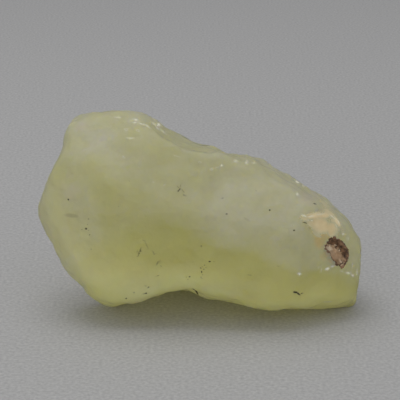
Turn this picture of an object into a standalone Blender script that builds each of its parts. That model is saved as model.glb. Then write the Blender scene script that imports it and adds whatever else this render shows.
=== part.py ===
# Raw Libyan desert glass: one natural lump of milky yellow glass, broken and then worn by blown sand.
# The lump stands on its worn underside. +X runs along it, -Y is its broad front, +Z is up.
# Shapes are worked out in millimetres and become metres in the last step.
# The lump leans back on its widest outline, the girdle. In the girdle's own frame x runs along, y goes up the
# lean and z comes out towards the front.
import math
from collections import namedtuple

import bmesh
import bpy
from mathutils import Matrix, Vector, noise

MILLIMETRE = 0.001
GIRDLE_LEAN = math.radians(20.0)

# The girdle: (along, up) in mm from the lump's middle.
GIRDLE = (
    # right end, its waist and its foot
    (18.9, -4.7), (18.8, -6.2), (18.4, -7.5), (18.6, -9.0), (18.5, -10.5), (18.0, -11.6),
    # long straight underside
    (15.8, -11.4), (15.0, -11.6), (13.4, -11.7), (8.9, -11.15), (4.7, -10.8), (1.3, -10.4), (0.2, -10.2),
    # arch between the two feet
    (-0.9, -9.4), (-2.3, -8.9), (-3.6, -8.7), (-4.8, -9.2), (-6.0, -10.1), (-7.1, -10.7),
    # left foot, rising to the left point
    (-10.4, -11.4), (-12.2, -10.7), (-14.1, -9.0), (-16.0, -6.4), (-17.2, -4.2), (-18.3, -2.2),
    (-19.0, -0.6), (-18.5, 1.7), (-17.3, 4.6), (-16.1, 7.1), (-15.6, 9.3),
    # blunt top
    (-14.6, 10.9), (-12.1, 11.4), (-9.0, 11.6), (-5.9, 11.1), (-3.7, 9.8),
    # saddle and the long slope down to the right end, with its small steps
    (-1.1, 8.1), (0.0, 7.6), (1.4, 7.4), (2.7, 6.6), (4.8, 6.3), (6.5, 6.2), (7.6, 5.8), (9.5, 4.7),
    (11.5, 3.7), (14.0, 2.0), (15.0, 1.4), (15.9, 0.3), (16.9, -0.5), (17.8, -1.8), (18.6, -3.3),
)
FRONT_BULGE = 9.0
BACK_BULGE = 10.2
GIRDLE_SPARE = 0.1  # added all round the girdle, as the soft faces and hollows take about this much off
FULLNESS = 2.4  # 2 would be an ellipse; more makes flatter faces with tighter edges
FOOT_FULLNESS = 3.0  # added towards the bottom of the front, which ends in a crisp edge over a flatter underside
FOOT_SWEEP = 0.28  # how far the lower half is swept back under the lump, per mm below its middle
SWEEP_SOFT = 1.5
FOLD_SPREAD = 0.4  # how soon the girdle's small ups and downs fade out over the front and back
BALL_STRETCH = 1.6  # how much longer than tall the lump is, to space the points evenly

# Broad worn faces, told from the girdle's frame. turn goes from the front towards the right end, tilt from
# there towards the top, reach is the face's distance from the middle and soft how gently it meets the others.
Face = namedtuple("Face", "turn tilt reach soft")
FACES = (
    Face(4, 17, 6.8, 0.2),  # upper front, leaning back
    Face(-3, -13, 6.8, 0.2),  # lower front, below a slanting knee
    Face(-13, 36, 10.0, 0.6),  # upper left shoulder
    Face(-27, 4, 11.0, 0.35),  # left end, front side
    Face(-24, -20, 12.1, 0.25),  # left foot, front side
    Face(30, -10, 11.4, 0.25),  # right foot, below the pit
    Face(42, 26, 12.0, 0.25),  # right shoulder, above the pit
    Face(8, 76, 11.35, 0.2),  # narrow top
    Face(57, 51, 9.1, 0.5),  # slope down to the right end
    Face(170, 30, 8.4, 0.5),  # upper back
    Face(204, 0, 8.8, 0.5),  # left back
    Face(158, -14, 12.9, 0.5),  # lower back
    Face(132, 4, 16.2, 0.5),  # right end, back side
    Face(232, 2, 16.6, 0.5),  # left end, back side
)

# Shell-shaped hollows: (along, up, out) of the middle of the ball that would fit in each, and its radius.
Hollow = namedtuple("Hollow", "along up out radius soft")
HOLLOWS = (
    Hollow(-3.9, -17.5, -1.0, 8.2, 0.15),  # arch beneath
    Hollow(1.0, 16.6, 6.0, 10.1, 0.3),  # front of the saddle
    Hollow(-1.5, 17.0, -5.5, 9.2, 0.3),  # back of the saddle
    Hollow(-8.0, 22.5, 13.5, 15.0, 0.15),  # shallow chip under the left top
    Hollow(14.6, 4.6, 11.0, 7.0, 0.12),  # shell break above the pit
    Hollow(3.5, -3.0, -20.0, 12.4, 0.3),  # middle of the back
    Hollow(-8.0, 7.0, -17.0, 9.6, 0.3),  # upper left of the back
    Hollow(13.5, -4.0, -15.5, 8.6, 0.25),  # right of the back
    Hollow(-13.5, -7.5, -13.0, 8.2, 0.3),  # left foot, behind
    Hollow(25.5, -7.5, -4.0, 7.4, 0.2),  # right end
)

# Swellings: (along, up, out) of the middle of each, how far it spreads and how far it stands out.
Swelling = namedtuple("Swelling", "along up out spread height")
SWELLINGS = (
    Swelling(-4.0, -8.6, -9.0, 4.0, 2.6),  # closes the arch behind
    Swelling(-11.5, 4.5, 5.5, 4.0, 0.35),  # left shoulder
    Swelling(9.0, 0.5, 6.0, 3.6, 0.35),  # right shoulder
    Swelling(-9.5, -8.5, 3.0, 3.0, 0.3),  # left foot
)

# Uneven wear: how far it moves the surface, and the size of its lumps, in mm.
Wear = namedtuple("Wear", "amount size")
WEAR = (Wear(0.5, 7.0), Wear(0.3, 3.1))
GIRDLE_HELD = 0.25  # how wide a band at the girdle is kept nearly free of that wear

UNDERSIDE = -12.0  # height of the worn flat that it stands on, from the lump's middle

SPLITS = 5
PIT_SPLITS = 3
PIT_MARGIN = 1.15

# The brown-lined pit near the right end: its middle and its rim round that.
PIT_MIDDLE = (15.7, -4.85)
PIT_RIM = (
    (1.35, -0.55), (1.2, 0.35), (0.85, 0.85), (0.15, 1.6), (-0.3, 1.8), (-0.9, 1.5), (-1.25, 1.0),
    (-1.3, 0.4), (-1.0, 0.0), (-0.75, -0.4), (-0.4, -0.95), (0.05, -1.45), (0.55, -1.8), (0.95, -1.3),
)
PIT_DEPTH = 1.3
PIT_WALL = 0.3  # share of the way in over which the wall drops

GLASS_COLOUR = (0.62, 0.60, 0.33)
GLASS_ROUGHNESS = 0.45
GLASS_IOR = 1.46
GLASS_CLEARNESS = 0.5


def rays_of(points):
    return sorted((math.atan2(y, x), math.hypot(x, y)) for x, y in points)


GIRDLE_RAYS = rays_of(GIRDLE)
PIT_RAYS = rays_of(PIT_RIM)


def reach_at(rays, angle):
    """Distance from the middle at an angle, on a smooth closed curve through the rays' ends."""
    count = len(rays)
    after = next((i for i, ray in enumerate(rays) if ray[0] > angle), count)
    knots = []
    for i in range(after - 2, after + 2):
        turn = 2 * math.pi * (i // count)
        knots.append((rays[i % count][0] + turn, rays[i % count][1]))
    (a0, r0), (a1, r1), (a2, r2), (a3, r3) = knots
    slope1 = (r2 - r0) / (a2 - a0)
    slope2 = (r3 - r1) / (a3 - a1)
    step = a2 - a1
    t = (angle - a1) / step
    return (
        r1 * (1 + 2 * t) * (1 - t) ** 2
        + slope1 * step * t * (1 - t) ** 2
        + r2 * t * t * (3 - 2 * t)
        + slope2 * step * t * t * (t - 1)
    )


def soft_excess(amount, soft):
    """amount where it is well above 0, nothing where it is well below, and a smooth bend between."""
    if amount > 30 * soft:
        return amount
    return soft * math.log1p(math.exp(amount / soft))


def wrapped(angle):
    return (angle + math.pi) % (2 * math.pi) - math.pi


def heading(turn, tilt):
    turn = math.radians(turn)
    tilt = math.radians(tilt)
    return Vector((math.sin(turn) * math.cos(tilt), math.sin(tilt), math.cos(turn) * math.cos(tilt)))


def pit_share(place):
    """0 in the middle of the pit, 1 at its rim, more outside it."""
    x = place.x - PIT_MIDDLE[0]
    y = place.y - PIT_MIDDLE[1]
    return math.hypot(x, y) / reach_at(PIT_RAYS, math.atan2(y, x))


def girdle_reach(angle, spread):
    """The girdle's reach, evened out over a spread of angles."""
    return (
        reach_at(GIRDLE_RAYS, wrapped(angle - spread))
        + 2 * reach_at(GIRDLE_RAYS, angle)
        + reach_at(GIRDLE_RAYS, wrapped(angle + spread))
    ) / 4


def on_lump(direction):
    """The place on the lump, in the girdle's frame, for a direction of the unit ball."""
    share = math.hypot(direction.x, direction.y)
    angle = math.atan2(direction.y, direction.x * BALL_STRETCH)
    fullness = FULLNESS
    if direction.z > 0 and angle < 0:
        fullness += FOOT_FULLNESS * (1 - math.cos(angle) ** 6)
    full = (share**fullness + abs(direction.z) ** fullness) ** (-1 / fullness)
    reach = (girdle_reach(angle, FOLD_SPREAD * abs(direction.z)) + GIRDLE_SPARE) * share * full
    bulge = FRONT_BULGE if direction.z > 0 else BACK_BULGE
    place = Vector((reach * math.cos(angle), reach * math.sin(angle), bulge * direction.z * full))
    place.z -= FOOT_SWEEP * soft_excess(-place.y, SWEEP_SOFT)
    for face in FACES:
        way = heading(face.turn, face.tilt)
        place -= way * soft_excess(place.dot(way) - face.reach, face.soft)
    for hollow in HOLLOWS:
        away = place - Vector((hollow.along, hollow.up, hollow.out))
        place += away.normalized() * soft_excess(hollow.radius - away.length, hollow.soft)
    for swelling in SWELLINGS:
        away = place - Vector((swelling.along, swelling.up, swelling.out))
        place += place.normalized() * swelling.height * math.exp(-((away.length / swelling.spread) ** 2))
    outwards = place.normalized() * (1 - math.exp(-((direction.z / GIRDLE_HELD) ** 2)))
    for wear in WEAR:
        place += outwards * wear.amount * noise.noise(place / wear.size)
    return place


def press_pit(place):
    if place.z > 0:
        inside = min(max((1 - pit_share(place)) / PIT_WALL, 0.0), 1.0)
        place -= heading(30, 10) * PIT_DEPTH * inside * inside * (3 - 2 * inside)
    return place


def refine_round_pit(ball):
    for _ in range(PIT_SPLITS):
        near = set()
        for vertex in ball.verts:
            place = on_lump(vertex.co)
            if place.z > 0 and pit_share(place) < PIT_MARGIN:
                near.add(vertex)
        edges = [edge for edge in ball.edges if near.intersection(edge.verts)]
        bmesh.ops.subdivide_edges(ball, edges=edges, cuts=1)
        bmesh.ops.triangulate(ball, faces=ball.faces)
        for vertex in ball.verts:
            vertex.co.normalize()


def stand_in_the_middle(ball):
    """Move the lump so that it stands on the floor with the middle of its box over the origin."""
    middle = Vector((0.0, 0.0, UNDERSIDE))
    for axis in (0, 1):
        reaches = [vertex.co[axis] for vertex in ball.verts]
        middle[axis] = (min(reaches) + max(reaches)) / 2
    bmesh.ops.translate(ball, vec=-middle, verts=ball.verts)


def frosted_glass():
    glass = bpy.data.materials.new("desert_glass")
    glass.use_nodes = True
    shader = glass.node_tree.nodes["Principled BSDF"]
    shader.inputs["Base Color"].default_value = (*GLASS_COLOUR, 1.0)
    shader.inputs["Roughness"].default_value = GLASS_ROUGHNESS
    shader.inputs["IOR"].default_value = GLASS_IOR
    shader.inputs["Transmission Weight"].default_value = GLASS_CLEARNESS
    glass.diffuse_color = (*GLASS_COLOUR, 1.0)
    return glass


def build_lump():
    mesh = bpy.data.meshes.new("desert_glass")
    ball = bmesh.new()
    bmesh.ops.create_icosphere(ball, subdivisions=SPLITS, radius=1.0)
    refine_round_pit(ball)
    upright = Matrix.Rotation(math.pi / 2 - GIRDLE_LEAN, 3, "X")
    for vertex in ball.verts:
        vertex.co = upright @ press_pit(on_lump(vertex.co))
        vertex.co.z = max(vertex.co.z, UNDERSIDE)
    stand_in_the_middle(ball)
    bmesh.ops.scale(ball, vec=(MILLIMETRE,) * 3, verts=ball.verts)
    for face in ball.faces:
        face.smooth = True
    ball.to_mesh(mesh)
    ball.free()
    mesh.materials.append(frosted_glass())
    lump = bpy.data.objects.new("desert_glass", mesh)
    bpy.context.scene.collection.objects.link(lump)
    return lump


def clear_scene():
    for thing in list(bpy.data.objects):
        bpy.data.objects.remove(thing)


clear_scene()
build_lump()
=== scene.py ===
import math
import random

import bmesh
import bpy
from mathutils import Matrix, Vector, noise


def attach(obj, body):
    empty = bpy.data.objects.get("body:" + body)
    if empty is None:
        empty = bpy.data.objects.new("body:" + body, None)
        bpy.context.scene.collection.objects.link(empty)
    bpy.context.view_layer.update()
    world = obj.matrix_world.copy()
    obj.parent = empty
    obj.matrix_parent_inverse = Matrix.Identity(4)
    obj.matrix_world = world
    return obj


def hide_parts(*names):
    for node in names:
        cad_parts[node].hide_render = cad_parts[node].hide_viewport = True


print("loading the frame")
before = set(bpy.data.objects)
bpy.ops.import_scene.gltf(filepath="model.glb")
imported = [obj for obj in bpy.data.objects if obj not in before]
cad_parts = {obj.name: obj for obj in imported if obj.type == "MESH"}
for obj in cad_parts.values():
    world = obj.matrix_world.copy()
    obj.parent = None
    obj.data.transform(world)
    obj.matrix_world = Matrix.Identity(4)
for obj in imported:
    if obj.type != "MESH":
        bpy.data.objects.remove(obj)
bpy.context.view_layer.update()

# Places on the lump are told as in its front view: x along, y up the view, z out towards the viewer, in mm
# from its middle.
view = {
    "middle": (0.019, -0.327, 12.0),  # the front view's own middle, in mm in the part's frame
    "lean": math.radians(20),  # how far the view looks down
    "mmPerPixel": 38 / 323,  # the lump is 38 mm long, and 323 pixels in the picture
    "pixels": 400,
    "lens": 150,
    "sensor": 36,
    "raise": 10,  # how many pixels the picture's centre is above the lump's middle
    "nearest": 0.001,
}
mm = 0.001
viewDistance = view["pixels"] * view["mmPerPixel"] * view["lens"] / view["sensor"]
viewCentre = view["raise"] * view["mmPerPixel"]
turnUp = Matrix.Rotation(math.pi / 2 - view["lean"], 3, "X")
turnBack = turnUp.transposed()


def toFront(point):
    return turnBack @ (Vector(point) * 1000 - Vector(view["middle"]))


def fromFront(x, y, z):
    return (turnUp @ Vector((x, y, z)) + Vector(view["middle"])) / 1000


def asSeen(place):
    # where the lens shows a place, measured in the plane through the lump's middle
    nearer = viewDistance / (viewDistance - place.z)
    return Vector((place.x * nearer, viewCentre + (place.y - viewCentre) * nearer, place.z))


def softStep(low, high, value):
    share = min(max((value - low) / (high - low), 0), 1)
    return share * share * (3 - 2 * share)


lump = {
    "node": "desert_glass",
    "smoothing": 2,
    "ease": 0.5,  # how far each corner of the fine mesh then moves towards its neighbours
    "plump": 0.5,  # how far the corners are drawn out before the smoothing, which takes them in again
    "grain": ((0.2, 2.4), (0.12, 1.2), (0.04, 0.5)),  # how deep and how wide the worn unevenness is, in mm
}

# the pit: its middle and its rim round that, as seen from the front
pit = {
    "middle": (16.06, -5.0),
    "rim": (
        (1.36, -0.6), (1.25, 0.36), (0.85, 0.88), (0.14, 1.62), (-0.3, 1.86), (-0.9, 1.54), (-1.28, 1.03),
        (-1.35, 0.44), (-1.05, 0.0), (-0.76, -0.44), (-0.4, -0.95), (0.05, -1.47), (0.56, -1.84),
        (1.0, -1.32),
    ),
    # painted light: the floor is painted lighter where the overhead light falls in, and the glints are
    # painted highlights
    "floor": (-0.3, -0.25, 1.5, 0.85, -52),  # the lit floor: along, up, half length, half width, slant
    "glints": (
        (-0.95, 0.5, 0.36, 0.28, -40), (-0.2, 0.5, 0.3, 0.1, -50), (0.45, -1.0, 0.3, 0.12, -60),
        (0.35, 0.3, 0.16, 0.08, -60), (-0.1, 0.95, 0.2, 0.07, -30),
    ),
    "lumps": ((0.14, 0.42), (0.06, 0.2)),  # how deep and how wide its crust's unevenness is
    "rimDark": 0.05,  # how wide the dark line is round its floor, as a share of the way in
    "lip": 0.06,  # how far the crust stands up at the rim
    "level": (2.9, -0.24, 0.34),  # the glass round it: how far out, and how much further per mm along and up
    "sunk": 0.5,  # anything that much deeper is the floor, also where it lies under the left lip
    "steep": 0.3,  # faces that turn further from the viewer than this are its walls
    "reach": 2.3,
    "near": 1.8,  # only glass this close is looked at, as a share of the way to the rim
    "ragged": (0.12, 0.3),
    "mottle": (0.5, 0.25),
    "edge": (1.0, 1.1),  # from where to where the crust fades into the glass, as shares of the way
    "floorEdge": (0.75, 1.15),
    "glintEdge": (0.5, 1.2),
    "lipWidth": 0.12,
    "lipWave": (2, 0.3),
    "rimFade": 0.9,
    "crustFrom": 0.5,
}

# dark specks and strokes: along, up, half length, half width, slant in degrees, how dark
specks = (
    (-15.44, 1.23, 0.11, 0.10, 0, 0.9), (-15.2, -0.66, 0.75, 0.22, -5, 0.22),
    (-13.1, -1.05, 0.08, 0.07, 0, 0.5), (-13.25, -1.7, 0.06, 0.05, 0, 0.4),
    (-13.41, -2.2, 0.13, 0.10, -20, 0.9), (-13.9, -2.3, 0.07, 0.05, 0, 0.5),
    (-13.1, -2.4, 0.05, 0.05, 0, 0.5), (-12.96, -2.9, 0.08, 0.06, 60, 0.6),
    (-12.8, -4.6, 0.06, 0.06, 0, 0.5), (-7.13, -5.0, 0.5, 0.06, 70, 0.9),
    (-7.4, -4.9, 0.2, 0.04, 80, 0.4), (-6.3, -4.1, 0.5, 0.05, -65, 0.35),
    (-6.6, -3.6, 0.25, 0.05, -20, 0.3), (-5.44, -5.06, 0.3, 0.05, -60, 0.45),
    (-5.0, -6.25, 0.27, 0.08, 62, 0.5), (-4.6, -6.6, 0.15, 0.05, -40, 0.3),
    (-4.93, -7.75, 0.06, 0.05, 60, 0.65), (-6.06, -9.1, 0.09, 0.08, 0, 0.8),
    (-6.4, -8.97, 0.07, 0.06, 0, 0.4), (-6.35, -9.81, 0.11, 0.09, 0, 1.0),
    (-7.76, -9.7, 0.08, 0.07, 0, 0.6), (-8.68, -10.4, 0.11, 0.07, 20, 0.7),
    (-2.47, 2.35, 0.25, 0.06, 55, 0.95), (-2.3, 2.85, 0.3, 0.04, 80, 0.4),
    (-2.57, 2.68, 0.2, 0.04, -50, 0.45), (-1.99, 2.28, 0.25, 0.05, -50, 0.4),
    (-1.94, 1.8, 0.12, 0.05, -70, 0.45), (0.16, -4.24, 0.11, 0.05, 90, 0.8),
    (1.13, -6.05, 0.12, 0.07, 0, 1.0), (1.62, -6.06, 0.05, 0.05, 0, 0.5),
    (0.53, -6.5, 0.07, 0.05, 30, 0.8), (0.07, -6.84, 0.08, 0.06, -30, 0.85),
    (0.7, -6.8, 0.06, 0.05, 40, 0.6), (0.44, -6.99, 0.07, 0.06, 0, 0.7), (0.3, -6.7, 0.05, 0.05, 0, 0.5),
    (0.18, -7.3, 0.13, 0.05, 90, 0.95), (0.29, -7.65, 0.05, 0.05, 0, 0.6),
    (0.12, -7.94, 0.1, 0.04, 80, 0.5), (-1.22, -7.84, 0.1, 0.07, 20, 0.75),
    (-1.6, -7.9, 0.06, 0.05, 0, 0.4), (-1.42, -8.16, 0.06, 0.05, 0, 0.5),
    (-0.52, -9.6, 0.48, 0.05, -42, 1.0), (2.65, 1.4, 0.14, 0.04, 10, 0.55),
    (3.13, -0.47, 0.12, 0.08, 0, 0.6), (8.19, -0.05, 0.1, 0.09, 60, 0.85),
    (5.5, -1.1, 0.4, 0.12, -30, 0.15), (11.21, -9.66, 0.28, 0.1, -10, 1.0),
    (11.58, -9.86, 0.26, 0.09, -35, 1.0), (11.99, -9.84, 0.15, 0.05, 15, 0.8),
    (13.46, 0.66, 0.22, 0.06, 0, 0.85), (12.35, -1.5, 0.32, 0.06, -12, 0.7),
    (11.06, -2.4, 0.1, 0.08, 0, 0.85), (5.9, -7.65, 0.1, 0.05, 0, 0.4), (9.2, -6.6, 0.1, 0.05, 0, 0.4),
    (-8.3, 3.4, 0.06, 0.05, 0, 0.3), (-9.6, 0.4, 0.06, 0.05, 0, 0.25), (6.6, 2.2, 0.06, 0.05, 0, 0.3),
)

# a few grains like them, scattered over the back, which isn't in the photo; each has a share of the full
# size and darkness
backGrains = {"count": 26, "along": 11, "up": 7, "long": 0.22, "wide": 0.08, "share": (0.5, 1), "seed": 5}

# deeper and paler zones: along, up, half length, half width, slant, how much deeper (below 0 paler), how much
# warmer. Partly the glass's own tone, partly painted light: the deeper zones low on the front are partly
# painted shade where the faces turn from the overhead light, the paler zones higher up are painted sheen on
# faces towards the light, and the warmer zones along the bottom, some also paler, are a painted glow that
# brightens the lower edges where they turn under into shade
zones = (
    (-4.7, -4.9, 8.5, 3.4, -8, 0.7, 0.1), (6.0, -7.8, 10, 2.4, -8, 0.55, 0.3),
    (15.3, -9.6, 5, 2.4, 0, 0.45, 0.2), (-8.6, 1.0, 5.5, 4.0, 0, 0.3, 0),
    (-2.6, -2.9, 1.6, 1.0, -10, 0.3, 0), (4.4, -5.9, 3.6, 1.1, -20, 0.3, 0),
    (-11.5, -8.6, 5.5, 3.0, 20, -0.2, 0.8), (-2.0, -8.6, 4, 1.6, 0, 0, 0.9), (8, -11, 12, 1.4, 0, 0, 0.7),
    (-10.5, -10.8, 5, 1.4, 0, -0.4, 0.6), (3.0, -10.9, 9, 0.9, -3, -0.2, 0.5),
    (-15.6, 1.8, 2.6, 2.2, 0, -0.2, 0), (4.0, -1.0, 4, 2.4, -10, -0.4, 0),
    (-11.6, 8.0, 3.0, 2.2, 0, -0.1, 0), (11.0, 1.5, 4.0, 2.4, -30, -0.3, 0),
    (-16.6, -3.0, 2.2, 4.0, 25, 0, 0.35),
)

# how the glass varies away from the zones, and how their edges wander; sizes in mm
drift = {
    "wander": 1.2,  # how far the zones' edges wander
    "wanderSize": 4,
    "deep": 0.3,
    "swell": (0.3, 6.0),  # how much deeper or paler, and how wide
    "ripple": (0.16, 1.9),
    "warmSwell": (0.1, 3.0),
    "front": -3,  # the zones lie in front of this, and the glass behind grows deeper and warmer downwards
    "backLow": -9,
    "backHigh": 6,
    "backDeep": 0.35,
    "backPale": 0.2,
    "backWarm": 0.3,
}

# where the paler upper part meets the deeper lower part on the right: points along and up. Below it the
# colour is deepened, partly the glass's own tone and partly painted shade on the lower faces that turn from
# the overhead light
tideLine = ((-1.2, -3.0), (3.5, -4.6), (8.2, -5.9), (12.0, -7.0), (15.3, -7.4), (19.5, -7.9))
tide = {
    "depth": 0.2,
    "ragged": (0.8, 1.5),  # how far the line wanders, and how wide its waves are
    "edge": (-0.3, 0.5),  # from how far above the line to how far below it the glass deepens
    "start": (-3, 2),  # it sets in between these places along the lump
}

# how stains, the painted sheen and small marks fade out between two shares of their size, and how ragged they
# are
soft = {"overlay": (0.35, 1.25), "spotWaves": ((0.25, 0.7), (0.12, 0.25)), "mark": (0.6, 1.5), "markWave": 0.2}

# the cream patch above the pit, the pale painted sheen of light off faces turned to the lamp, above that and
# at the top left and the left end, and the ochre stain beside the pit, each spot with its strength last
stainsAndSheen = {
    "cream": (
        (13.9, -0.65, 1.8, 0.5, 3, 0.95), (14.3, -1.8, 1.8, 1.1, -30, 0.95),
        (13.2, -1.6, 0.9, 0.6, -15, 0.7), (15.4, -2.2, 1.1, 0.9, -50, 0.9),
        (16.2, -1.3, 0.9, 0.3, -60, 0.95), (15.2, -0.3, 1.0, 0.5, -35, 0.7),
        (14.6, 0.7, 1.2, 0.4, -38, 0.45), (13.7, -2.9, 0.9, 0.4, -30, 0.45),
        (12.2, -1.0, 0.6, 0.25, -20, 0.6), (15.7, -1.2, 0.5, 0.4, 0, 0.6),
        (16.9, -2.6, 0.5, 0.3, -60, 0.4),
    ),
    "paintedSheen": (
        (12.6, 1.3, 1.3, 1.0, 20, 0.8), (-14.0, 9.8, 1.0, 0.7, 20, 0.7), (-15.1, 2.2, 1.3, 1.1, 0, 0.5),
    ),
    "ochre": (
        (14.1, -3.7, 0.8, 1.0, 20, 0.7), (14.8, -3.0, 1.1, 0.55, -20, 0.7),
        (14.5, -5.6, 0.6, 0.5, -50, 0.35), (14.85, -5.2, 0.5, 0.35, -50, 0.65),
        (15.3, -6.0, 0.45, 0.25, -50, 0.5),
    ),
}

# how small marks are laid on: how far off one is still looked for, how ragged it is, how deep it is cut
marking = {
    "rim": {"reach": 1.2, "ragged": 0.3},
    "speck": {"reach": 0.9, "ragged": 0.1, "cut": 0.03},
    "chip": {"reach": 1, "ragged": 0.3, "cut": 0.05},
    "spares": (0.42, 0.2),  # how far round the marks the mesh is made finer, a value for each time
    "stainsFrom": 9,  # the cream and ochre stains and the pit lie further along than this
    "still": -8,  # glass further back than this stays smooth
}

# the painted edge shade is laid only on the crest: how near its middle, and how turned up it is
crest = {"near": 2, "middle": -0.3, "width": 0.4, "turn": 0.5}

# painted shade: a dark olive line for the dark refraction where the saddle's thin edge is seen: along, up,
# half length, half width, slant, how dark
edgeShadeLines = (
    (-3.7, 9.6, 1.1, 0.25, -32, 0.5), (-1.1, 8.1, 1.1, 0.25, -30, 0.9), (0.6, 7.5, 1.0, 0.25, -12, 0.9),
    (-7.9, 11.5, 1.0, 0.25, -5, 0.5), (10.9, 4.1, 0.6, 0.25, -30, 0.6),
)

# fresh chips, cut in a little and painted white as glints off their edges: along, up, half length, half
# width, slant, how bright
chips = (
    (-7.55, 10.65, 0.4, 0.14, -5, 0.7), (-7.65, 10.3, 0.3, 0.12, 0, 0.7),
    (-6.95, 10.15, 0.35, 0.08, -25, 0.8), (-6.2, 9.85, 0.5, 0.07, -28, 0.76),
    (-5.5, 10.1, 0.3, 0.1, -35, 0.7), (-5.05, 9.65, 0.3, 0.1, -42, 0.74), (-4.9, 9.95, 0.24, 0.2, 0, 1.0),
    (-4.4, 9.3, 0.5, 0.07, -40, 0.74), (-9.64, 10.95, 0.4, 0.08, 5, 0.7),
    (-8.68, 9.38, 0.24, 0.13, -40, 0.72), (-8.16, 8.48, 0.5, 0.09, 5, 0.72),
    (-7.3, 9.3, 0.22, 0.13, -30, 0.68), (-8.97, 6.32, 0.25, 0.08, -45, 0.68),
    (-2.8, 6.4, 0.4, 0.06, -15, 0.64), (-4.22, 2.97, 0.14, 0.1, 0, 0.7),
    (-5.5, 3.3, 0.13, 0.08, -25, 0.64), (0.0, 5.66, 0.2, 0.09, -10, 0.68),
    (1.4, 4.85, 0.24, 0.12, 30, 0.7), (2.54, 5.25, 0.14, 0.12, 0, 0.88), (1.9, 5.0, 0.4, 0.06, 12, 0.62),
    (4.26, 5.81, 0.3, 0.16, 0, 0.66), (5.5, 5.7, 0.18, 0.25, 0, 0.66), (6.4, 5.6, 0.3, 0.1, 0, 0.64),
    (11.5, 3.4, 0.26, 0.24, -20, 1.0), (11.25, 3.75, 0.18, 0.14, -20, 0.9),
    (12.1, 2.8, 0.16, 0.12, -35, 0.84), (11.4, 1.79, 0.17, 0.15, 0, 0.95),
    (12.2, -0.66, 0.35, 0.11, -20, 0.78), (13.0, -0.72, 0.5, 0.09, 10, 0.72),
    (14.2, -0.48, 0.6, 0.08, 8, 0.66), (13.09, -1.2, 0.13, 0.09, 0, 0.9),
    (12.65, -1.15, 0.1, 0.08, 0, 0.8), (10.9, -1.8, 0.12, 0.1, 0, 0.7),
    (15.7, -0.8, 0.5, 0.09, -35, 0.66), (16.35, -1.4, 0.35, 0.09, -75, 0.66),
    (16.1, -1.9, 0.3, 0.06, -70, 0.64), (16.9, -2.85, 0.16, 0.12, 0, 0.74),
    (11.69, -7.5, 0.26, 0.17, 0, 0.92), (14.3, -7.06, 0.07, 0.26, 0, 0.9),
    (14.95, -6.91, 0.27, 0.17, 20, 1.0), (15.5, -6.6, 0.3, 0.09, 20, 0.74),
    (17.5, -7.45, 0.4, 0.13, -10, 0.82), (18.0, -7.7, 0.2, 0.14, 0, 0.78),
    (18.55, -7.3, 0.1, 0.35, 0, 0.64), (17.95, -6.5, 0.06, 0.3, 0, 0.74),
    (17.4, -3.35, 0.15, 0.15, 0, 0.64), (16.7, -7.2, 0.3, 0.07, -15, 0.66),
    (14.0, -6.7, 0.25, 0.06, 30, 0.64), (-4.85, -7.47, 0.1, 0.08, 0, 0.7),
    (-6.1, -8.6, 0.07, 0.07, 0, 0.65), (15.0, -10.9, 0.6, 0.06, 5, 0.6),
)


# the chalky cream patch and the chips painted white as glints, and the dark grains: solid from where their
# marks are this strong
creamAndGlint = {
    "creamFrom": 0.3,
    "chipFrom": 0.6,
    "chipStart": 0.35,
    "edge": (0.56, 0.535, 0.325, 1),
    "cream": (0.90, 0.755, 0.46, 1),
    "peach": (0.79, 0.615, 0.32, 1),
    "peachSize": 0.0012,
    # the painted glint on the chips' faces
    "paintedGlint": (1.0, 0.975, 0.80, 1),
    "roughness": 0.5,
}
darkGrain = {"from": 0.55, "edge": (0.45, 0.43, 0.20, 1), "dark": (0.008, 0.006, 0.001, 1), "roughness": 0.7}


def scattered(grains):
    draw = random.Random(grains["seed"])
    marks = []
    for _ in range(grains["count"]):
        along = draw.uniform(-grains["along"], grains["along"])
        up = draw.uniform(-grains["up"], grains["up"])
        size = draw.uniform(*grains["share"])
        slant = draw.uniform(0, 180)
        dark = draw.uniform(*grains["share"])
        marks.append((along, up, grains["long"] * size, grains["wide"] * size, slant, dark))
    return tuple(marks)


backSpecks = scattered(backGrains)


def raysOf(points):
    return sorted((math.atan2(y, x), math.hypot(x, y)) for x, y in points)


pitRays = raysOf(pit["rim"])


def reachAt(rays, angle):
    # straight between neighbouring rays, round the whole turn
    count = len(rays)
    after = next((i for i, ray in enumerate(rays) if ray[0] > angle), count)
    a0, r0 = rays[after - 1]
    a1, r1 = rays[after % count]
    if after == 0:
        a0 -= 2 * math.pi
    if after == count:
        a1 += 2 * math.pi
    return r0 + (r1 - r0) * (angle - a0) / (a1 - a0)


def pitShare(place):
    x = place.x - pit["middle"][0]
    y = place.y - pit["middle"][1]
    return math.hypot(x, y) / reachAt(pitRays, math.atan2(y, x))


def markShare(place, mark):
    # 0 in the middle of a long mark, 1 at its edge
    x = place.x - mark[0]
    y = place.y - mark[1]
    slant = math.radians(mark[4])
    along = x * math.cos(slant) + y * math.sin(slant)
    across = y * math.cos(slant) - x * math.sin(slant)
    return math.hypot(along / mark[2], across / mark[3])


def mergedCopy(node):
    copy = bmesh.new()
    copy.from_mesh(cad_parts[node].data)
    bmesh.ops.remove_doubles(copy, verts=copy.verts, dist=1e-7)
    return copy


def plumped(shape, share):
    # each corner drawn out by a share of how far it stands off the middle of its neighbours
    drawn = []
    for vert in shape.verts:
        neighbours = [edge.other_vert(vert).co for edge in vert.link_edges]
        drawn.append(vert.co + (vert.co - sum(neighbours, Vector()) / len(neighbours)) * share)
    for vert, co in zip(shape.verts, drawn):
        vert.co = co
    return shape


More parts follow.
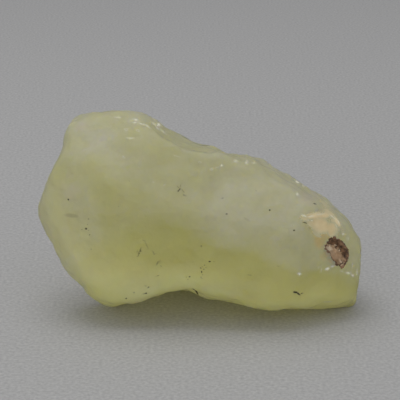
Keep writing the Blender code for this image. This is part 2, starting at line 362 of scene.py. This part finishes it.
def smoothed(shape, levels):
    # a subdivision surface, taken as a plain mesh
    rough = bpy.data.meshes.new("rough")
    shape.to_mesh(rough)
    shape.free()
    holder = bpy.data.objects.new("rough", rough)
    bpy.context.scene.collection.objects.link(holder)
    rounding = holder.modifiers.new("rounding", "SUBSURF")
    rounding.levels = levels
    rounding.render_levels = levels
    seen = holder.evaluated_get(bpy.context.evaluated_depsgraph_get())
    fine = bmesh.new()
    fine.from_mesh(seen.to_mesh())
    seen.to_mesh_clear()
    bmesh.ops.smooth_vert(
        fine, verts=fine.verts, factor=lump["ease"], use_axis_x=True, use_axis_y=True, use_axis_z=True
    )
    bpy.data.objects.remove(holder)
    bpy.data.meshes.remove(rough)
    return fine


def uneven(place, wave):
    # noise of some depth, in lumps of some width in mm
    deep, wide = wave
    return deep * noise.noise(place / wide)


def lineHeight(points, x):
    # how high a line through the points is at x
    for (x0, y0), (x1, y1) in zip(points, points[1:]):
        if x < x1:
            return y0 + (y1 - y0) * (x - x0) / (x1 - x0)
    return points[-1][1]


def markDepth(place, seen, marks, kind):
    # how strong the strongest of some marks is at a place
    reach = marking[kind]["reach"]
    ragged = marking[kind]["ragged"]
    depth = 0
    for mark in marks:
        if abs(seen.x - mark[0]) < reach and abs(seen.y - mark[1]) < reach:
            share = markShare(seen, mark) + uneven(place, (ragged, soft["markWave"]))
            depth = max(depth, mark[5] * (1 - softStep(*soft["mark"], share)))
    return depth


def refine(shape, marks, spare, side):
    # finer mesh where small marks are cut, on the front (1) or the back (-1)
    near = set()
    for vert in shape.verts:
        place = toFront(vert.co)
        if place.z * side < 0:
            continue
        if side > 0:
            place = asSeen(place)
        for x, y, long, wide, slant, _ in marks:
            if math.hypot(place.x - x, place.y - y) > long + spare:
                continue
            if markShare(place, (x, y, long + spare, wide + spare, slant)) < 1:
                near.add(vert)
                break
    edges = [edge for edge in shape.edges if near.issuperset(edge.verts)]
    bmesh.ops.subdivide_edges(shape, edges=edges, cuts=1, use_grid_fill=True)


def zoneShares(place, seen):
    # how deep and how warm the glass is at a place, each 0 to 1
    spot = place / drift["wanderSize"]
    stir = Vector((noise.noise(spot), noise.noise(spot + Vector((9, 0, 0))), 0)) * drift["wander"]
    deep = drift["deep"] + uneven(place, drift["swell"]) + uneven(place, drift["ripple"])
    share, wide = drift["warmSwell"]
    tintAndGlow = share * noise.noise(place / wide + Vector((0, 5, 0)))
    if place.z > drift["front"]:
        for zone in zones:
            near = math.exp(-markShare(seen + stir, zone) ** 2)
            deep += zone[5] * near
            tintAndGlow += zone[6] * near
        below = lineHeight(tideLine, seen.x) - seen.y + uneven(place, tide["ragged"])
        deep += tide["depth"] * softStep(*tide["edge"], below) * softStep(*tide["start"], seen.x)
    else:
        low = 1 - softStep(drift["backLow"], drift["backHigh"], place.y)
        deep += drift["backDeep"] * low - drift["backPale"]
        tintAndGlow += drift["backWarm"] * low
    return min(max(deep, 0), 1), min(max(tintAndGlow, 0), 1)


def stainAndSheenAt(place, seen, spots):
    ragged = sum(uneven(place, wave) for wave in soft["spotWaves"])
    return max(spot[5] * (1 - softStep(*soft["overlay"], markShare(seen, spot) + ragged)) for spot in spots)


def underLip(place, inPit, normal):
    # the pit's walls and the part of its floor that the left lip hides from the front
    far, along, up = pit["level"]
    sunk = far + along * inPit.x + up * inPit.y - place.z
    wall = normal.z < pit["steep"]
    hidden = inPit.x < 0 and sunk > pit["sunk"]
    return math.hypot(inPit.x, inPit.y) < pit["reach"] and (wall or hidden)


def pitCrust(place, seen, normal):
    # how much of the crust, its painted lit floor and its painted glints there is at a place, and how far it
    # stands out
    share = pitShare(seen) + uneven(place, pit["ragged"])
    crust = 1 - softStep(*pit["edge"], share)
    inPit = seen - Vector((*pit["middle"], 0))
    if underLip(place, inPit, normal):
        crust = 1
    mottle = uneven(place, pit["mottle"])
    floor = 1 - softStep(*pit["floorEdge"], markShare(inPit, pit["floor"]) + mottle)
    glint = max(1 - softStep(*pit["glintEdge"], markShare(inPit, spot) + mottle) for spot in pit["glints"])
    lip = math.exp(-((share - 1) / pit["lipWidth"]) ** 2)
    out = lip * pit["lip"] * (1 + uneven(place, pit["lipWave"]))
    out += crust * sum(uneven(place, wave) for wave in pit["lumps"])
    lit = crust * (1 - pit["rimFade"] * softStep(1 - 2 * pit["rimDark"], 1 - pit["rimDark"], share))
    return crust, floor * lit, glint * lit, out


print("shaping the lump")
shape = smoothed(plumped(mergedCopy(lump["node"]), lump["plump"]), lump["smoothing"])
wideSpare, closeSpare = marking["spares"]
refine(shape, specks + chips, wideSpare, 1)
refine(shape, specks, closeSpare, 1)
refine(shape, backSpecks, wideSpare, -1)
refine(shape, backSpecks, closeSpare, -1)
shape.normal_update()
layerNames = ("deep", "tintAndGlow", "paintedSheen", "cream", "ochre", "rim", "chip", "speck", "crust", "floor", "glint")
layers = {name: shape.verts.layers.float.new(name) for name in layerNames}
moves = []
for vert in shape.verts:
    place = toFront(vert.co)
    seen = asSeen(place)
    normal = turnBack @ vert.normal
    vert[layers["deep"]], vert[layers["tintAndGlow"]] = zoneShares(place, seen)
    move = sum(uneven(place, wave) for wave in lump["grain"])
    # the painted edge shade, laid along the crest
    if abs(place.z) < crest["near"]:
        off = (place.z - crest["middle"]) / crest["width"]
        onEdge = math.exp(-(normal.z / crest["turn"]) ** 2 - off ** 2)
        vert[layers["rim"]] = markDepth(place, seen, edgeShadeLines, "rim") * onEdge
    if place.z > 0:
        vert[layers["paintedSheen"]] = stainAndSheenAt(place, seen, stainsAndSheen["paintedSheen"])
        if seen.x > marking["stainsFrom"]:
            vert[layers["cream"]] = stainAndSheenAt(place, seen, stainsAndSheen["cream"])
            vert[layers["ochre"]] = stainAndSheenAt(place, seen, stainsAndSheen["ochre"])
            if pitShare(seen) < pit["near"]:
                crustShare, floorShare, glintShare, out = pitCrust(place, seen, normal)
                vert[layers["crust"]] = crustShare
                vert[layers["floor"]] = floorShare
                vert[layers["glint"]] = glintShare
                move += out
        vert[layers["speck"]] = markDepth(place, seen, specks, "speck")
        vert[layers["chip"]] = markDepth(place, seen, chips, "chip")
        move -= sum(marking[layer]["cut"] * vert[layers[layer]] for layer in ("speck", "chip"))
    else:
        vert[layers["speck"]] = markDepth(place, place, backSpecks, "speck")
    moves.append(vert.normal * move * mm if place.z > marking["still"] else Vector())
for vert, move in zip(shape.verts, moves):
    vert.co += move
    vert.co.z = max(vert.co.z, 0)


def faceMean(face, layer):
    return sum(vert[layers[layer]] for vert in face.verts) / len(face.verts)


for face in shape.faces:
    face.smooth = True
    if faceMean(face, "crust") > pit["crustFrom"]:
        face.material_index = 1
    elif faceMean(face, "speck") > darkGrain["from"]:
        face.material_index = 3
    elif faceMean(face, "chip") > creamAndGlint["chipFrom"] or faceMean(face, "cream") > creamAndGlint["creamFrom"]:
        face.material_index = 2
lumpMesh = bpy.data.meshes.new("desertGlassLump")
shape.to_mesh(lumpMesh)
shape.free()
lumpPiece = bpy.data.objects.new("desertGlassLump", lumpMesh)
bpy.context.scene.collection.objects.link(lumpPiece)
print("lump:", sum(len(face.vertices) - 2 for face in lumpMesh.polygons), "triangles")


def newMaterial(name):
    material = bpy.data.materials.new(name)
    material.use_nodes = True
    nodes = material.node_tree.nodes
    return material, nodes, material.node_tree.links, nodes["Principled BSDF"]


def addNode(nodes, kind, **settings):
    node = nodes.new(kind)
    for name, value in settings.items():
        if hasattr(node, name):
            setattr(node, name, value)
        else:
            node.inputs[name].default_value = value
    return node


def fill(links, socket, source):
    # gives a socket another node's output or a plain value
    if isinstance(source, bpy.types.NodeSocket):
        links.new(source, socket)
    else:
        socket.default_value = source


def blend(nodes, links, share, below, above):
    mix = addNode(nodes, "ShaderNodeMix", data_type="RGBA")
    for socket, source in ((mix.inputs[0], share), (mix.inputs[6], below), (mix.inputs[7], above)):
        fill(links, socket, source)
    return mix.outputs[2]


def newGroup(name, inputs, output, kind):
    # an empty node group with named sockets
    group = bpy.data.node_groups.new(name, "ShaderNodeTree")
    for socket, inputKind in inputs.items():
        group.interface.new_socket(name=socket, in_out="INPUT", socket_type=inputKind)
    group.interface.new_socket(name=output, in_out="OUTPUT", socket_type=kind)
    given = group.nodes.new("NodeGroupInput")
    result = group.nodes.new("NodeGroupOutput")
    return group, given.outputs, result.inputs[output]


clouds = {"detail": 4.0, "from": 0.3, "to": 0.7}  # the part of the noise's range that is spread out


def makeCloudGroup():
    # noise in lumps, spread between a low and a high value
    inputs = {
        "Place": "NodeSocketVector",
        "Scale": "NodeSocketFloat",
        "Low": "NodeSocketFloat",
        "High": "NodeSocketFloat",
    }
    group, given, result = newGroup("cloudyLumps", inputs, "Value", "NodeSocketFloat")
    lumps = addNode(group.nodes, "ShaderNodeTexNoise", Detail=clouds["detail"])
    group.links.new(given["Place"], lumps.inputs["Vector"])
    group.links.new(given["Scale"], lumps.inputs["Scale"])
    spread = {"From Min": clouds["from"], "From Max": clouds["to"]}
    span = addNode(group.nodes, "ShaderNodeMapRange", **spread)
    group.links.new(given["Low"], span.inputs["To Min"])
    group.links.new(given["High"], span.inputs["To Max"])
    group.links.new(lumps.outputs["Fac"], span.inputs["Value"])
    group.links.new(span.outputs[0], result)
    return group


def makeColourOverGroup():
    # a colour laid over another, as much as a mask is above its start
    inputs = {
        "Mask": "NodeSocketFloat",
        "Start": "NodeSocketFloat",
        "Below": "NodeSocketColor",
        "Cover": "NodeSocketColor",
    }
    group, given, result = newGroup("colourOver", inputs, "Colour", "NodeSocketColor")
    span = addNode(group.nodes, "ShaderNodeMapRange")
    group.links.new(given["Start"], span.inputs["From Min"])
    group.links.new(given["Mask"], span.inputs["Value"])
    covered = blend(group.nodes, group.links, span.outputs[0], given["Below"], given["Cover"])
    group.links.new(covered, result)
    return group


cloudGroup = makeCloudGroup()
colourOverGroup = makeColourOverGroup()


def paint(nodes, links, layer, below, colour, start=0):
    # lays a colour over what is below, as much as the vertex layer says above its start: real stains and
    # tones, and painted sheen, shade, glow and glints
    mask = addNode(nodes, "ShaderNodeAttribute", attribute_name=layer)
    overlay = addNode(nodes, "ShaderNodeGroup", node_tree=colourOverGroup, Start=start)
    links.new(mask.outputs["Fac"], overlay.inputs["Mask"])
    fill(links, overlay.inputs["Below"], below)
    fill(links, overlay.inputs["Cover"], colour)
    return overlay.outputs["Colour"]


def cloud(nodes, links, size, low, high):
    # noise in lumps of a size in metres, as a value between low and high
    place = addNode(nodes, "ShaderNodeTexCoord")
    lumps = addNode(nodes, "ShaderNodeGroup", node_tree=cloudGroup, Scale=1 / size, Low=low, High=high)
    links.new(place.outputs["Object"], lumps.inputs["Place"])
    return lumps.outputs["Value"]


def bump(nodes, links, shader, size, height):
    # fine unevenness under the shader
    ridges = addNode(nodes, "ShaderNodeBump", Strength=1.0, Distance=height)
    links.new(cloud(nodes, links, size, 0, 1), ridges.inputs["Height"])
    links.new(ridges.outputs["Normal"], shader.inputs["Normal"])


glass = {
    "pale": (0.785, 0.78, 0.575, 1),
    "wisp": (0.825, 0.815, 0.68, 1),
    "wispSize": 0.0035,
    "fleck": (0.97, 0.95, 0.80, 1),
    "fleckSize": 0.0007,
    "fleckMost": 0.3,
    "deep": (0.69, 0.68, 0.28, 1),
    # yellower tone, and a painted glow that brightens the lower edges where they turn under into shade
    "tintAndGlow": (1.0, 0.965, 0.45, 1),
    "cream": (1.0, 0.86, 0.55, 1),
    "ochre": (0.94, 0.71, 0.37, 1),
    # painted sheen: pale light reflected off faces turned to the lamp
    "paintedSheen": (0.84, 0.79, 0.68, 1),
    # painted shade along the saddle's thin edge
    "rim": (0.30, 0.31, 0.18, 1),
    "speck": (0.02, 0.016, 0.004, 1),
    # painted glints on the fresh chips
    "chip": (1.0, 0.99, 0.88, 1),
    "roughness": (0.45, 0.62),
    "roughnessSize": 0.003,
    "bumpSize": 0.0006,
    "bumpHeight": 0.00003,
    "clearness": 0.5,
    "milkiness": 1.0,
    "milkReach": (1.0, 0.9, 0.45),
    "milkScale": 0.003,
    "ior": 1.46,
    "inside": (0.88, 0.86, 0.15, 1),  # what the glass soaks up on the way through
    "insideDensity": 220,
}


def makeGlass():
    material, nodes, links, shader = newMaterial("desertGlass")
    wisps = cloud(nodes, links, glass["wispSize"], 0, 1)
    flecks = cloud(nodes, links, glass["fleckSize"], 0, glass["fleckMost"])
    colour = blend(nodes, links, wisps, glass["pale"], glass["wisp"])
    colour = blend(nodes, links, flecks, colour, glass["fleck"])
    for layer in ("deep", "tintAndGlow", "paintedSheen", "cream", "ochre", "rim", "chip", "speck"):
        colour = paint(nodes, links, layer, colour, glass[layer])
    links.new(colour, shader.inputs["Base Color"])
    links.new(cloud(nodes, links, glass["roughnessSize"], *glass["roughness"]), shader.inputs["Roughness"])
    bump(nodes, links, shader, glass["bumpSize"], glass["bumpHeight"])
    shader.inputs["IOR"].default_value = glass["ior"]
    shader.inputs["Transmission Weight"].default_value = glass["clearness"]
    shader.inputs["Subsurface Weight"].default_value = glass["milkiness"]
    shader.inputs["Subsurface Radius"].default_value = glass["milkReach"]
    shader.inputs["Subsurface Scale"].default_value = glass["milkScale"]
    soaking = {"Color": glass["inside"], "Density": glass["insideDensity"]}
    inside = addNode(nodes, "ShaderNodeVolumeAbsorption", **soaking)
    links.new(inside.outputs["Volume"], nodes["Material Output"].inputs["Volume"])
    return material


# the brown crust that lines the pit; its lower-left floor is painted lighter where the overhead light falls
# in, and its glints are painted highlights
crust = {
    "dark": (0.02, 0.010, 0.006, 1),
    "brown": (0.36, 0.20, 0.105, 1),
    "brownSize": 0.0004,
    "floor": (0.68, 0.49, 0.31, 1),
    "glint": (1.0, 0.84, 0.62, 1),
    "roughness": 0.7,
}


def makeCrust():
    material, nodes, links, shader = newMaterial("brownCrust")
    mottle = cloud(nodes, links, crust["brownSize"], 0, 1)
    colour = blend(nodes, links, mottle, crust["dark"], crust["brown"])
    # the painted lit floor and the painted glints
    for layer in ("floor", "glint"):
        colour = paint(nodes, links, layer, colour, crust[layer])
    links.new(colour, shader.inputs["Base Color"])
    shader.inputs["Roughness"].default_value = crust["roughness"]
    return material


def makeCreamAndGlint():
    # the cream patch, and the chips' faces painted white as glints
    material, nodes, links, shader = newMaterial("creamAndGlintGlass")
    mottle = cloud(nodes, links, creamAndGlint["peachSize"], 0, 1)
    patch = blend(nodes, links, mottle, creamAndGlint["cream"], creamAndGlint["peach"])
    colour = paint(nodes, links, "cream", creamAndGlint["edge"], patch, creamAndGlint["creamFrom"])
    colour = paint(nodes, links, "chip", colour, creamAndGlint["paintedGlint"], creamAndGlint["chipStart"])
    links.new(colour, shader.inputs["Base Color"])
    shader.inputs["Roughness"].default_value = creamAndGlint["roughness"]
    return material


def makeDarkGrain():
    material, nodes, links, shader = newMaterial("darkGrain")
    links.new(paint(nodes, links, "speck", darkGrain["edge"], darkGrain["dark"]), shader.inputs["Base Color"])
    shader.inputs["Roughness"].default_value = darkGrain["roughness"]
    return material


print("making the glass, the crust, the chips and the dark grains")
for make in (makeGlass, makeCrust, makeCreamAndGlint, makeDarkGrain):
    lumpMesh.materials.append(make())
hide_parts(lump["node"])
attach(lumpPiece, "root")

floor = {
    "size": 3.0,
    "darker": (0.43, 0.43, 0.435, 1),
    "lighter": (0.57, 0.57, 0.57, 1),
    "grain": 0.0004,
    "roughness": 0.8,
}


def makeFloor():
    shape = bmesh.new()
    bmesh.ops.create_grid(shape, x_segments=1, y_segments=1, size=floor["size"] / 2)
    mesh = bpy.data.meshes.new("floor")
    shape.to_mesh(mesh)
    shape.free()
    piece = bpy.data.objects.new("floor", mesh)
    bpy.context.scene.collection.objects.link(piece)
    material, nodes, links, shader = newMaterial("paleFloor")
    speckle = cloud(nodes, links, floor["grain"], 0, 1)
    links.new(blend(nodes, links, speckle, floor["darker"], floor["lighter"]), shader.inputs["Base Color"])
    shader.inputs["Roughness"].default_value = floor["roughness"]
    mesh.materials.append(material)


lights = (
    {"name": "overhead", "at": (-0.04, 0.03, 0.24), "size": 0.18, "watts": 0.155, "colour": (1, 0.99, 0.97)},
    {"name": "lowFront", "at": (-0.03, -0.25, 0.05), "size": 0.16, "watts": 0.08, "colour": (1, 1, 1)},
)
lit = (0, 0, 0.01)  # the point on the lump that the lights face
sky = {
    "above": (0.38, 0.38, 0.385, 1),
    "front": (0.8, 0.8, 0.8, 1),
    "behind": (0.30, 0.305, 0.31, 1),
    "turn": (-0.7, 0.7),  # from where to where it goes over from the front to behind
    "rise": (0.0, 0.9),  # and from level to above
}


def aim(thing, target):
    thing.rotation_mode = "QUATERNION"
    thing.rotation_quaternion = (Vector(target) - thing.location).to_track_quat("-Z", "Y")


def makeLights():
    for light in lights:
        lamp = bpy.data.lights.new(light["name"], "AREA")
        lamp.shape = "DISK"
        lamp.size = light["size"]
        lamp.energy = light["watts"]
        lamp.color = light["colour"]
        holder = bpy.data.objects.new(light["name"], lamp)
        bpy.context.scene.collection.objects.link(holder)
        holder.location = light["at"]
        aim(holder, lit)
    world = bpy.data.worlds.new("softRoom")
    bpy.context.scene.world = world
    world.use_nodes = True
    nodes = world.node_tree.nodes
    links = world.node_tree.links
    place = addNode(nodes, "ShaderNodeTexCoord")
    apart = addNode(nodes, "ShaderNodeSeparateXYZ")
    links.new(place.outputs["Generated"], apart.inputs[0])
    turnFrom, turnTo = sky["turn"]
    turn = addNode(nodes, "ShaderNodeMapRange", **{"From Min": turnFrom, "From Max": turnTo})
    links.new(apart.outputs["Y"], turn.inputs["Value"])
    riseFrom, riseTo = sky["rise"]
    rise = addNode(nodes, "ShaderNodeMapRange", **{"From Min": riseFrom, "From Max": riseTo})
    rise.interpolation_type = "SMOOTHSTEP"
    links.new(apart.outputs["Z"], rise.inputs["Value"])
    level = blend(nodes, links, turn.outputs[0], sky["front"], sky["behind"])
    dome = blend(nodes, links, rise.outputs[0], level, sky["above"])
    links.new(dome, nodes["Background"].inputs["Color"])


def makeCamera():
    lens = bpy.data.cameras.new("camera")
    lens.lens = view["lens"]
    lens.sensor_width = view["sensor"]
    lens.clip_start = view["nearest"]
    camera = bpy.data.objects.new("camera", lens)
    bpy.context.scene.collection.objects.link(camera)
    camera.location = fromFront(0, viewCentre, viewDistance)
    aim(camera, fromFront(0, viewCentre, 0))
    bpy.context.scene.camera = camera


print("setting the stage")
makeFloor()
makeLights()
makeCamera()
bpy.context.scene.view_settings.view_transform = "Standard"
